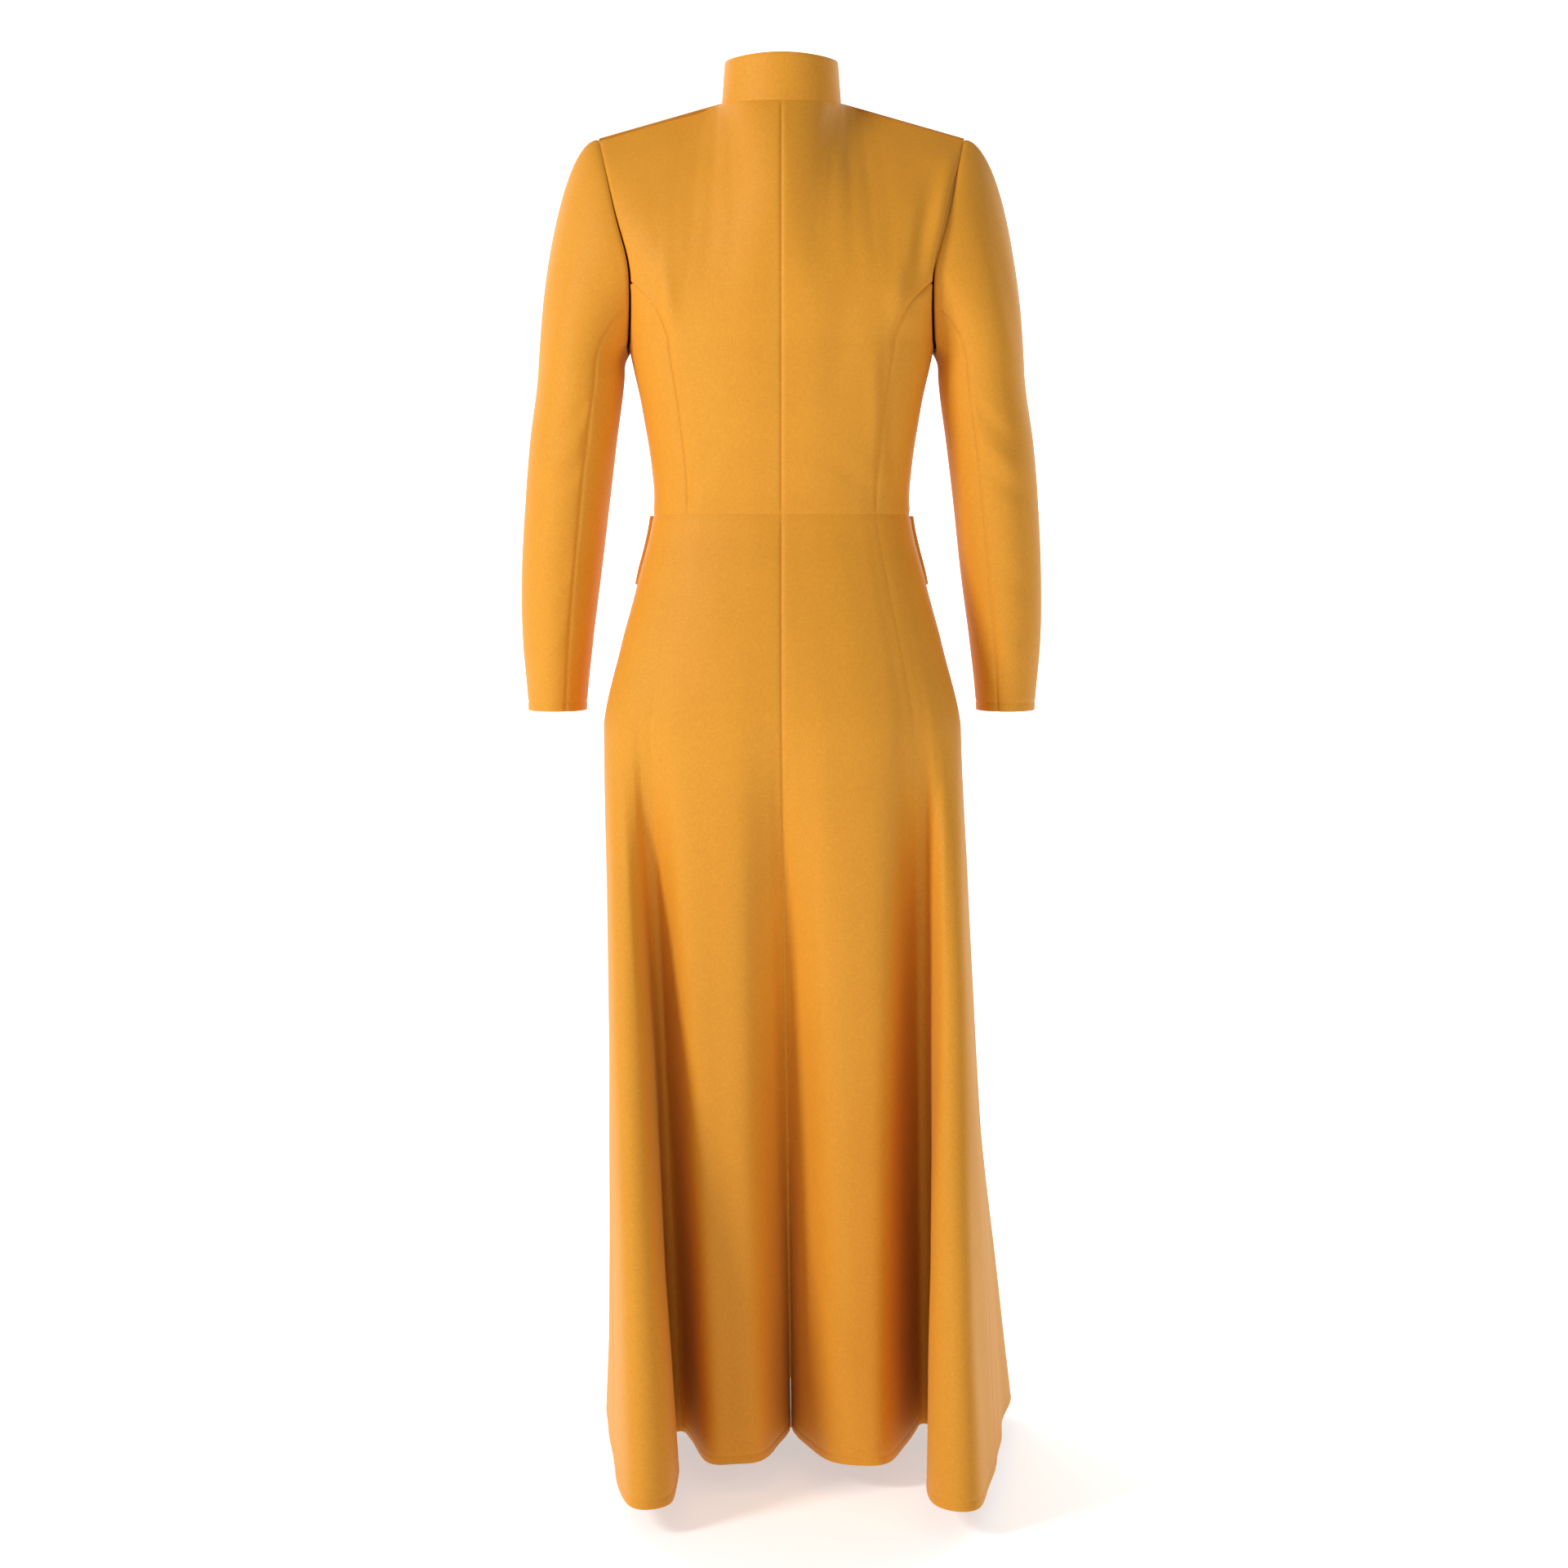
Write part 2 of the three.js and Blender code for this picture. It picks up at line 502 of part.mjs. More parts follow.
const ELBOW = 1 + (SLEEVE_TOP - ELBOW_HEIGHT) / (SLEEVE_TOP - CUFF_HEIGHT);
const UPPER_ROWS = [0, 0.15, 0.32, 0.55, 0.8, 1, mix(1, ELBOW, 0.5), ELBOW];
const LINING_END = 2 - LINING_SHORT / (SLEEVE_TOP - CUFF_HEIGHT);
const LOWER_ROWS = [...spread(ELBOW, LINING_END, 4), 2];

function sleeveSurface(side) {
  const surface = (t, b) => {
    const p = sleeve(t, b);
    return vec(p.x * side, p.y, p.z);
  };
  surface.facing = -side;
  return surface;
}

// The outer sleeve is cut in two: a top sleeve, and a narrower under sleeve against the body.
const UNDER_FROM = 5;
const UNDER_TO = 11;

function sleevePanels(side, name) {
  const surface = sleeveSurface(side);
  const topStops = () => spread(UNDER_TO - SLEEVE_SPAN, UNDER_FROM, SLEEVE_SPAN - UNDER_TO + UNDER_FROM);
  const underStops = () => spread(UNDER_FROM, UNDER_TO, UNDER_TO - UNDER_FROM);
  const parts = [
    ["upper", UPPER_ROWS, [GAP / 2, GAP / 2, SLEEVE_GAP, GAP / 2]],
    ["lower", LOWER_ROWS, [GAP / 2, GAP / 2, GAP / 2, 0]],
  ];
  for (const [level, rows, trim] of parts) {
    add(`top_sleeve_${level}_${name}`, sheet(surface, rows, topStops, ...OUTER, trim), CLOTH);
    add(`under_sleeve_${level}_${name}`, sheet(surface, rows, underStops, ...OUTER, trim), CLOTH);
    const liningRows = level === "lower" ? rows.slice(0, -1) : rows.slice(1);
    add(`sleeve_lining_${level}_${name}`, tube(surface, liningRows, ...INNER, trim), LINING_CLOTH);
  }
}

// A sleeve lining is a tube all round.
function tube(surface, rows, near, far, trim) {
  const outer = [];
  const inner = [];
  rows.forEach((b, j) => {
    for (let t = 0; t < SLEEVE_SPAN; t += 1) {
      const step = 1e-3;
      const up = surface(t, b + step).sub(surface(t, max(0, b - step)));
      const round = surface(t + step, b).sub(surface(t - step, b));
      const shift = (j === 0 ? trim[2] : j === rows.length - 1 ? -trim[3] : 0) / (up.length() / (2 * step));
      const p = surface(t, b + shift);
      const n = round.cross(up).normalize().multiplyScalar(-surface.facing);
      outer.push(p.clone().addScaledVector(n, near));
      inner.push(p.clone().addScaledVector(n, far));
    }
  });
  return closed(outer, inner, SLEEVE_SPAN, rows.length - 1, true, surface.facing < 0);
}

// Patch pocket flaps, set in the waist seam at the sides, and the pouches behind them.
const FLAP_STATIONS = [11, 13];

function pockets(side, name) {
  const surface = skirtSurface(side);
  const stops = () => spread(...FLAP_STATIONS, 6);
  const bagStops = () => spread(...FLAP_STATIONS, 2);
  const share = (z) => z / WAIST_HEIGHT;
  const flapRows = spread(share(WAIST_HEIGHT - 2 - FLAP_DROP), share(WAIST_HEIGHT - 2), 3);
  add(`pocket_flap_${name}`,
    sheet(surface, flapRows, stops, -FLAP_STAND_OFF - FLAP_THICK, -FLAP_STAND_OFF, [0, 0, 0, 0]), CLOTH);
  const bag = SKIRT_ROWS.filter((b) => b > share(WAIST_HEIGHT - POCKET_DEPTH));
  const near = ALL_LAYERS + GAP;
  add(`pocket_bag_${name}`, sheet(surface, bag, bagStops, near, near + POCKET_THICK, [0, 0, 0, 8]), LINING_CLOTH);
}

// A felt pad under each shoulder seam, half on the back and half on the front.
const PAD_REACH = 0.22;
const PAD_STOPS = [0.5, 0.625, 0.75, 0.875, 0.95];

function shoulderPad(side, name) {
  const back = bodiceSurface(side, true);
  const front = bodiceSurface(side, false);
  const surface = (s, q) => (q <= 0 ? back(s, 2 + PAD_REACH * q) : front(s, 2 - PAD_REACH * q));
  surface.facing = back.facing;
  surface.inward = (s, q, n) => back.inward(s, 2 - PAD_REACH * abs(q), n);
  const near = ALL_LAYERS + 2 * GAP;
  add(`shoulder_pad_${name}`,
    sheet(surface, [-1, -0.5, 0, 0.5, 1], () => PAD_STOPS, near, near + PAD_THICK, [0, 0, 0, 0]), PAD_FELT);
}

// Domed buttons down the centre of the right front.
function centreFrontPoint(z) {
  if (z < WAIST_HEIGHT) return ring(CENTRE_FRONT, z);
  let [low, high] = [0, 2];
  for (let n = 0; n < 30; n += 1) {
    const middle = (low + high) / 2;
    if (bodice(-1, false, 0, middle).z < z) low = middle;
    else high = middle;
  }
  return bodice(-1, false, 0, low);
}

function buttons() {
  const [shank, foot] = BUTTON_SHANK;
  const profile = [[0, 0], [shank, 0], [shank, foot], [BUTTON_RADIUS * 0.8, foot],
    [BUTTON_RADIUS, foot + BUTTON_THICK * 0.4], [BUTTON_RADIUS * 0.7, foot + BUTTON_THICK * 0.85],
    [0, foot + BUTTON_THICK]];
  BUTTONS.forEach(([z, seat], n) => {
    const p = centreFrontPoint(z);
    const run = centreFrontPoint(z + 4).sub(centreFrontPoint(z - 4));
    const outward = vec(0, -run.z, run.y).normalize();
    const button = add(`button_${n + 1}`, new THREE.LatheGeometry(profile.map((q) => new THREE.Vector2(...q)), 16),
      BUTTON_CLOTH);
    button.quaternion.setFromUnitVectors(vec(0, 1, 0), outward);
    button.position.copy(p).addScaledVector(outward, seat);
  });
}

// Inside the back neck: a loop to hang the coat by, and a plain satin label.
function backNeckTrim() {
  const half = LOOP_WIDTH / 2;
  const outline = new THREE.Shape();
  outline.absellipse(0, 0, half, LOOP_DROP, PI, 2 * PI, false);
  outline.lineTo(half - LOOP_THICK, 0);
  outline.absellipse(0, 0, half - LOOP_THICK, LOOP_DROP - LOOP_THICK, 2 * PI, PI, true);
  const band = new THREE.ExtrudeGeometry(outline, { depth: LOOP_THICK, bevelEnabled: false, curveSegments: 10 });
  const loop = add("hanger_loop", band.rotateX(PI / 2), CLOTH);
  loop.position.set(0, BACK_NECK_Y - ALL_LAYERS - 2 * GAP, NECK_HEIGHT + LOOP_TOP);
  const surface = bodiceSurface(1, true);
  const near = ALL_LAYERS + 2 * GAP;
  const stops = () => spread(-0.15, 0.15, 4);
  add("neck_label", sheet(surface, [1.7, 1.85], stops, near, near + 0.6, [0, 0, 10, 4]), LABEL_SATIN);
}

for (const [name, side] of SIDES) {
  bodicePanels(side, name);
  skirtPanels(side, name);
  sleevePanels(side, name);
  pockets(side, name);
  shoulderPad(side, name);
}
collarPanels();
buttons();
backNeckTrim();

export default coat;
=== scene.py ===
"""A woman's fitted maxi coat in mustard wool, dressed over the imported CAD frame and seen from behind."""
import math

import bpy
import numpy as np
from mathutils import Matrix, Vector


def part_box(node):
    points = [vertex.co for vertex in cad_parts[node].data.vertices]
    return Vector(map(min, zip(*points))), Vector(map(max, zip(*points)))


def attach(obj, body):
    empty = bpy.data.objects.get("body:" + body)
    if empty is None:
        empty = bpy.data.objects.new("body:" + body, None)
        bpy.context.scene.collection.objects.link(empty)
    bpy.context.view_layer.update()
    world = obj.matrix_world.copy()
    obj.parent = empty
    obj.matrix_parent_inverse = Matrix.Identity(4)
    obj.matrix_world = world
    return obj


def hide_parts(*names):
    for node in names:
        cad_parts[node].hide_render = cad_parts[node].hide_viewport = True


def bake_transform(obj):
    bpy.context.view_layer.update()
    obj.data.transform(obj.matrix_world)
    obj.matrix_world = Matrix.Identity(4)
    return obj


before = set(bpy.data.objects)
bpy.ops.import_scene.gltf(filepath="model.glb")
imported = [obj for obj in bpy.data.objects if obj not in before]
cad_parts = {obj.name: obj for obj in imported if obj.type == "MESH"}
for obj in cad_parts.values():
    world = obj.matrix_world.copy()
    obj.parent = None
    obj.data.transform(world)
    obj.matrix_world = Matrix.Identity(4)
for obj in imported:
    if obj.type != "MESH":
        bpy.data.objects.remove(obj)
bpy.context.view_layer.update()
MM = 0.001

# Driving heights, in millimetres above the hem: the hem, neck and cuff heights are read from the CAD nodes, the other
# sizes are typed in.
HEM_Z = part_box("skirt_back_left")[0][2]


def height_of(node, end):
    return round((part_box(node)[end][2] - HEM_Z) / MM, 1)


NECK_HEIGHT = round(-HEM_Z / MM)
CUFF_HEIGHT = height_of("top_sleeve_lower_left", 0)
SHOULDER_WIDTH = 368
SHOULDER_HEIGHT = 1349
UNDERARM_HEIGHT = 1145
WAIST_HEIGHT = 972
HIP_HEIGHT = 760
BUST_WIDTH, WAIST_WIDTH, HIP_WIDTH = 308, 260, 362
BUST_DEPTH, WAIST_DEPTH, HIP_DEPTH = (96, 114), (78, 92), (118, 118)
NECK_HALF = 60
NECK_POINT_Y = -8
BACK_NECK_Y = 50
FRONT_NECK_Y = -66
FRONT_NECK_DROP = 50
COLLAR_HEIGHT = 46
COLLAR_LIFT = 1.2
ELBOW_HEIGHT = 1015
FRONT_EDGE = 18
SHELL = 2.4
LINING_EASE = 1.2
LINING = 1.0
LINING_SHORT = 18
HEM_STITCH = 9  # the row of stitches above the turned hem


def mix(a, b, t):
    return a + (b - a) * t


def smooth(t):
    t = np.clip(t, 0, 1)
    return t * t * (3 - 2 * t)


def catmull(a, b, c, d, t):
    return 0.5 * (2 * b + (c - a) * t + (2 * a - 5 * b + 4 * c - d) * t**2 + (3 * b - a - 3 * c + d) * t**3)


def along(points, t):
    """Catmull-Rom through the rows of points, whose ends are held, at the shares t."""
    points = np.asarray(points, float)
    last = len(points) - 1
    place = np.clip(t, 0, 1) * last
    k = np.minimum(last - 1, np.floor(place)).astype(int)
    near = [points[np.clip(k + i, 0, last)] for i in (-1, 0, 1, 2)]
    return catmull(*near, (place - k)[..., None])


# The ring round the body: station 0 at the centre back, 16 at the centre front, the left side counted forwards.
STATIONS = 32
TURN = [0, 0.02, 0.06, 0.12, 0.18, 0.215, 0.24, 0.27, 0.31, 0.37, 0.44, 0.52, 0.62, 0.7, 0.78, 0.89, 1]
BACK_SEAM, BACK_ARMHOLE, SIDE_SEAM, FRONT_ARMHOLE, FRONT_SEAM, CENTRE_FRONT = 6, 10, 11, 12, 14, 16
HEM_LEFT = [
    (-10, -92), (0, -46), (20, 24), (48, 38), (76, 30), (98, -50), (107, -80), (116, -50), (106, 62),
    (110, 168), (150, 176), (172, 40), (184, -95), (193, -205), (160, -262), (82, -286), (0, -292),
]
HEM_RIGHT = [
    (-10, -92), (-22, -46), (-46, 22), (-80, 40), (-114, 24), (-142, -80), (-152, -108), (-162, -80), (-149, 50),
    (-150, 168), (-192, 182), (-220, 45), (-236, -105), (-252, -240), (-196, -292), (-92, -300), (0, -292),
]
ROUNDNESS = 0.85
HIP_SOFTNESS = 0.06  # how gradually the folds begin at the hip
RING_TURN = np.array(TURN + TURN[-2:0:-1]) * math.pi
RING_SIDE = np.array([1] * 17 + [-1] * 15)
RING_HEM = np.array(HEM_LEFT + HEM_RIGHT[-2:0:-1], float)


def body_row(low, high, share, wide, back, front):
    """One row of the body table: height, half width, back depth and front depth, between two named levels."""
    return [mix(low[0], high[0], share)] + [mix(a, b, t) for a, b, t in zip(low[1:], high[1:], (wide, back, front))]


HIP = [HIP_HEIGHT, HIP_WIDTH / 2, *HIP_DEPTH]
WAIST = [WAIST_HEIGHT, WAIST_WIDTH / 2, *WAIST_DEPTH]
BUST = [UNDERARM_HEIGHT, BUST_WIDTH / 2, *BUST_DEPTH]
BODY = np.array([
    HIP,
    body_row(HIP, WAIST, 0.42, 0.4, 0.28, 0.38),
    body_row(HIP, WAIST, 0.74, 0.76, 0.66, 0.72),
    WAIST,
    body_row(WAIST, BUST, 0.24, 0.03, 0.3, 0.5),
    body_row(WAIST, BUST, 0.63, 0.46, 0.75, 1.3),
    BUST,
])


def body_size(z):
    z = np.clip(z, HIP_HEIGHT, UNDERARM_HEIGHT)
    last = len(BODY) - 1
    k = np.clip(np.searchsorted(BODY[:, 0], z, side="left") - 1, 0, last - 1)
    t = (z - BODY[k, 0]) / (BODY[k + 1, 0] - BODY[k, 0])
    near = [BODY[np.clip(k + i, 0, last), 1:] for i in (-1, 0, 1, 2)]
    return catmull(*near, t[..., None])


def station(k, z):
    k = np.mod(k, STATIONS)
    size = body_size(z)
    turn = RING_TURN[k]
    x = RING_SIDE[k] * size[..., 0] * np.abs(np.sin(turn)) ** ROUNDNESS
    depth = np.where(np.cos(turn) > 0, size[..., 1], size[..., 2])
    y = depth * np.sign(np.cos(turn)) * np.abs(np.cos(turn)) ** ROUNDNESS
    fall = (HIP_HEIGHT - z) / HIP_HEIGHT
    drop = np.minimum(1, (fall + np.sqrt(fall**2 + HIP_SOFTNESS**2)) / 2) ** 0.92
    return np.stack([mix(x, RING_HEM[k, 0], drop), mix(y, RING_HEM[k, 1], drop)], -1)


def ring(w, z):
    w, z = np.broadcast_arrays(np.asarray(w, float), np.asarray(z, float))
    k = np.floor(w).astype(int)
    near = [station(k + i, z) for i in (-1, 0, 1, 2)]
    xy = catmull(*near, (w - k)[..., None])
    return np.concatenate([xy, z[..., None]], -1)


# The yoke above the underarm.
NECK_POINT = np.array([NECK_HALF, NECK_POINT_Y, NECK_HEIGHT + 4.0])
SHOULDER_POINT = np.array([SHOULDER_WIDTH / 2, NECK_POINT_Y, SHOULDER_HEIGHT])
NECK_SHARE = 0.375
ARM_RISE = SHOULDER_HEIGHT - UNDERARM_HEIGHT
CHEST_HALF = BUST_WIDTH / 2


def neck_seam(back, t):
    y, z = (BACK_NECK_Y, NECK_HEIGHT) if back else (FRONT_NECK_Y, NECK_HEIGHT - FRONT_NECK_DROP)
    turn = np.asarray(t) * math.pi / 2
    rise = 1 - np.cos(turn) if back else np.abs(np.sin(turn)) ** 1.4
    return np.stack([NECK_POINT[0] * np.sin(turn), mix(NECK_POINT[1], y, np.cos(turn)), mix(z, NECK_POINT[2], rise)], -1)


def armhole_side(back, v):
    start = ring(BACK_ARMHOLE if back else FRONT_ARMHOLE, UNDERARM_HEIGHT)
    bow = (46, 55, 46, 20) if back else (-62, -64, -52, -30)
    return along([
        start,
        (CHEST_HALF - 4, bow[0], UNDERARM_HEIGHT + ARM_RISE * 0.19),
        (CHEST_HALF - 2, bow[1], UNDERARM_HEIGHT + ARM_RISE * 0.37),
        (mix(CHEST_HALF, SHOULDER_POINT[0], 0.35), bow[2], UNDERARM_HEIGHT + ARM_RISE * 0.6),
        (mix(CHEST_HALF, SHOULDER_POINT[0], 0.74), bow[3], UNDERARM_HEIGHT + ARM_RISE * 0.84),
        SHOULDER_POINT,
    ], v)


def patch(back, s, v):
    w = BACK_ARMHOLE * s if back else CENTRE_FRONT - (CENTRE_FRONT - FRONT_ARMHOLE) * s
    bottom = ring(w, UNDERARM_HEIGHT)
    corner = ring(BACK_ARMHOLE if back else FRONT_ARMHOLE, UNDERARM_HEIGHT)
    middle = ring(0 if back else CENTRE_FRONT, UNDERARM_HEIGHT)
    neck = neck_seam(back, 0.0)
    shoulder = (s[..., None] - NECK_SHARE) / (1 - NECK_SHARE)
    top = np.where(s[..., None] < NECK_SHARE, neck_seam(back, np.minimum(s / NECK_SHARE, 1)),
                   mix(NECK_POINT, SHOULDER_POINT, shoulder))
    bulge = (12, 40) if back else (-9, -24)
    shares = [(1 - v) ** 3, 3 * v * (1 - v) ** 2, 3 * v * v * (1 - v), v**3]
    ys = (middle[1], middle[1] + bulge[0], neck[1] + bulge[1], neck[1])
    zs = (middle[2], mix(middle[2], neck[2], 0.38), mix(middle[2], neck[2], 0.76), neck[2])
    centre = np.stack([0 * v, sum(q * y for q, y in zip(shares, ys)), sum(q * z for q, z in zip(shares, zs))], -1)
    side = armhole_side(back, v)
    hs, hv = smooth(s)[..., None], smooth(v)[..., None]
    edges = bottom * (1 - hv) + top * hv + centre * (1 - hs) + side * hs
    corners = middle * (1 - hs) * (1 - hv) + neck * (1 - hs) * hv + corner * hs * (1 - hv) + SHOULDER_POINT * hs * hv
    return edges - corners


def soft_patch(back, s, v):
    """The yoke with the crease below the neck point eased out, more so further down."""
    window = 0.15 * (1 - v) ** 0.25 * smooth(v / 0.35) * np.clip(s / 0.25, 0, 1) * np.clip((1 - s) / 0.25, 0, 1)
    shares = ((-2, 0.1), (-1, 0.22), (0, 0.36), (1, 0.22), (2, 0.1))
    return sum(share * patch(back, s + k * window, v) for k, share in shares)


def bodice(side, back, s, r):
    s, r = np.broadcast_arrays(np.asarray(s, float), np.asarray(r, float))
    across = BACK_ARMHOLE * s if back else CENTRE_FRONT - (CENTRE_FRONT - FRONT_ARMHOLE) * s
    low = ring(across if side > 0 else STATIONS - across, mix(WAIST_HEIGHT, UNDERARM_HEIGHT, np.minimum(r, 1)))
    high = soft_patch(back, np.abs(s), np.clip(r - 1, 0, 1))
    high = high * np.stack([side * np.where(s < 0, -1, 1), np.ones_like(s), np.ones_like(s)], -1)
    return np.where((r < 1)[..., None], low, high)


UNDERARM_DIP = 0.93


def princess(back, r):
    low = BACK_SEAM / BACK_ARMHOLE if back else (CENTRE_FRONT - FRONT_SEAM) / (CENTRE_FRONT - FRONT_ARMHOLE)
    return mix(low, 1, np.clip((r - 1) / 0.3, 0, 1) ** 1.3)


def armhole_limit(back, r):
    wide = SIDE_SEAM / BACK_ARMHOLE if back else (CENTRE_FRONT - SIDE_SEAM) / (CENTRE_FRONT - FRONT_ARMHOLE)
    return mix(wide, 1, np.clip((r - UNDERARM_DIP) / (1 - UNDERARM_DIP), 0, 1))


# Sleeves: t in sixteenths round from the shoulder point through the back, b from the armhole (0) to the cuff (2).
SLEEVE_TOP = UNDERARM_HEIGHT - 33
SLEEVE_SIZES = np.array([
    (0, 202, -6, 43.8, 60),
    (0.2, 211, -8, 44, 59),
    (0.39, 218, -13, 43, 56),
    (0.58, 224, -21, 41, 53),
    (0.78, 229, -31, 36.5, 50),
    (1, 231, -42, 30, 46),
])


def armhole(t):
    turn = np.mod(t, 16)
    dip = 1 - np.abs(turn - 8) / 2
    low = mix(WAIST_HEIGHT, UNDERARM_HEIGHT, UNDERARM_DIP)
    under = ring(mix(BACK_ARMHOLE, FRONT_ARMHOLE, np.clip((turn - 6) / 4, 0, 1)), mix(UNDERARM_HEIGHT, low, dip.clip(0, 1)))
    back = armhole_side(True, np.clip(1 - turn / 6, 0, 1))
    front = armhole_side(False, np.clip((turn - 10) / 6, 0, 1))
    return np.where((turn <= 6)[..., None], back, np.where((turn >= 10)[..., None], front, under))


def sleeve_point(t, z):
    share = np.clip((SLEEVE_TOP - z) / (SLEEVE_TOP - CUFF_HEIGHT), 0, 1)
    last = len(SLEEVE_SIZES) - 1
    k = np.clip(np.searchsorted(SLEEVE_SIZES[:, 0], share, side="left") - 1, 0, last - 1)
    near = [SLEEVE_SIZES[np.clip(k + i, 0, last)] for i in (-1, 0, 1, 2)]
    at = (share - near[1][..., 0]) / (near[2][..., 0] - near[1][..., 0])
    x, y, wide, deep = np.moveaxis(catmull(*near, at[..., None]), -1, 0)[1:]
    turn = t * math.pi / 8
    return np.stack([x + wide * np.cos(turn), y + deep * np.sin(turn), z], -1)


def sleeve(t, b):
    t, b = np.broadcast_arrays(np.asarray(t, float), np.asarray(b, float))
    turn = t * math.pi / 8
    over = (1 + np.cos(turn)) / 2
    none = np.zeros_like(over)
    c = np.clip(b, 0, 1)[..., None]
    start = armhole(t) + np.stack([1.6 * (1 - over), none, none], -1)
    leave = np.stack([mix(14, 110, over), 22 * np.sin(turn), -30 * (1 - over)], -1)
    arrive = np.stack([4 * over, none, -mix(33, 250, over)], -1)
    to = sleeve_point(t, np.full_like(b, SLEEVE_TOP))
    cap = start * (1 + 2 * c) * (1 - c) ** 2 + leave * c * (1 - c) ** 2 + to * c * c * (3 - 2 * c) + arrive * c * c * (c - 1)
    arm = sleeve_point(t, mix(SLEEVE_TOP, CUFF_HEIGHT, np.clip(b - 1, 0, 1)))
    return np.where((b < 1)[..., None], cap, arm)


# Soft creases. Each is a ridge (or a valley, when the height is negative) between two places seen from behind,
# in millimetres: from (x, z), to (x, z), half width, height.
BACK_CREASES = [
    (-172, 1322, -142, 1190, 11, 6.5),
    (-150, 1300, -128, 1180, 9, -3.2),
    (-128, 1268, -112, 1140, 12, 2.6),
    (-104, 1120, -112, 1000, 8, -2.2),
    (-92, 1130, -98, 1000, 9, 2.0),
    (118, 1232, 104, 1140, 9, 2.6),
    (132, 1214, 118, 1130, 8, -1.8),
    (86, 1300, 60, 1180, 26, -1.6),
    (-70, 1230, -52, 1060, 16, -1.5),
    (-20, 1330, -44, 1180, 16, -1.2),
    (26, 1290, 34, 1120, 20, 1.1),
    (60, 1040, 96, 992, 9, -1.1),
    (-40, 1030, -92, 996, 9, -1.2),
]
FRONT_CREASES = [
    (96, 1150, 122, 1120, 12, -1.6),
    (-96, 1150, -122, 1120, 12, -1.6),
    (70, 1010, 108, 996, 9, -1.2),
    (-70, 1010, -108, 996, 9, -1.2),
]
SLEEVE_CREASES = [
    (212, 1240, 244, 1120, 10, -1.6),
    (180, 1090, 232, 1040, 8, -2.0),
    (186, 1052, 240, 1012, 8, 1.8),
    (190, 1020, 250, 985, 8, -1.8),
    (200, 930, 252, 890, 10, -1.2),
    (210, 860, 248, 820, 9, 1.0),
]


def creases(points, rows):
    x, z = points[..., 0], points[..., 2]
    total = np.zeros_like(x)
    for x0, z0, x1, z1, half, height in rows:
        dx, dz = x1 - x0, z1 - z0
        t = np.clip(((x - x0) * dx + (z - z0) * dz) / (dx * dx + dz * dz), 0, 1)
        gap = (x - x0 - t * dx) ** 2 + (z - z0 - t * dz) ** 2
        fade = np.sin(math.pi * (0.08 + 0.84 * t))
        total = total + height * fade * np.exp(-gap / half**2)
    return total


def ripple(points, size):
    """Slow unevenness of hung wool, a fraction of a millimetre to a millimetre."""
    x, y, z = np.moveaxis(points, -1, 0)
    wave = np.sin(x / 23 + z / 61 + 1.3) * np.sin(z / 47 - y / 31) + 0.6 * np.sin(x / 11 - z / 83 + y / 17)
    return size * wave


def body_relief(points):
    behind = smooth((points[..., 1] + 5) / 25)
    ahead = smooth((-points[..., 1] - 5) / 25)
    return behind * creases(points, BACK_CREASES) + ahead * creases(points, FRONT_CREASES) + ripple(points, 0.35)


def skirt_relief(points):
    low = smooth((HIP_HEIGHT + 60 - points[..., 2]) / 500)
    return ripple(points, 0.3) + low * ripple(points * np.array([0.7, 0.7, 0.3]), 1.4)


def sleeve_relief(side):
    def relief(points):
        mirrored = points * np.array([side, 1, 1])
        return creases(mirrored, SLEEVE_CREASES) + ripple(points, 0.35)
    return relief


# Turning a surface into a piece of cloth.
SEAM_WIDTH = 1.7
SEAM_DROP = 1.25
HIDDEN_SEAM = 0.12  # a seam pressed so flat that it hardly shows


def cut_stops(length, count):
    """Shares of a row, close together within a few millimetres of the cut edges."""
    edge = np.array([0, 0.7, 1.5, 2.6, 4.2]) / length
    return np.concatenate([edge, np.linspace(6.5 / length, 1 - 6.5 / length, count), 1 - edge[::-1]])


def cloth(name, surface, facing, rows, limits, columns, relief=None, depth=(0, SHELL), seams=(1, 1, 0, 0), stitch=None):
    """One cut piece: outer and inner faces joined round the edges. seams says which edges are sewn in, in the order
    first column, last column, first row, last row, and stitch is a height whose row of stitches pulls the cloth in."""
    b = np.asarray(rows, float)
    start, end = [np.broadcast_to(np.asarray(edge(b), float), b.shape) for edge in limits]
    sample = surface(mix(start[:, None], end[:, None], np.linspace(0, 1, 24)[None]), b[:, None])
    length = max(np.linalg.norm(np.diff(sample, axis=1), axis=-1).sum(1).max(), 20.0)
    share = cut_stops(length, columns)
    points = surface(mix(start[:, None], end[:, None], share[None]), np.broadcast_to(b[:, None], (len(b), len(share))))
    return sheet_mesh(name, points, facing, relief, depth, seams, stitch, False)


def normals_of(points, facing, looped):
    if looped:
        da = np.roll(points, -1, 1) - np.roll(points, 1, 1)
    else:
        da = np.gradient(points, axis=1)
    n = np.cross(da, np.gradient(points, axis=0)) * facing
    return n / np.maximum(np.linalg.norm(n, axis=-1, keepdims=True), 1e-9)


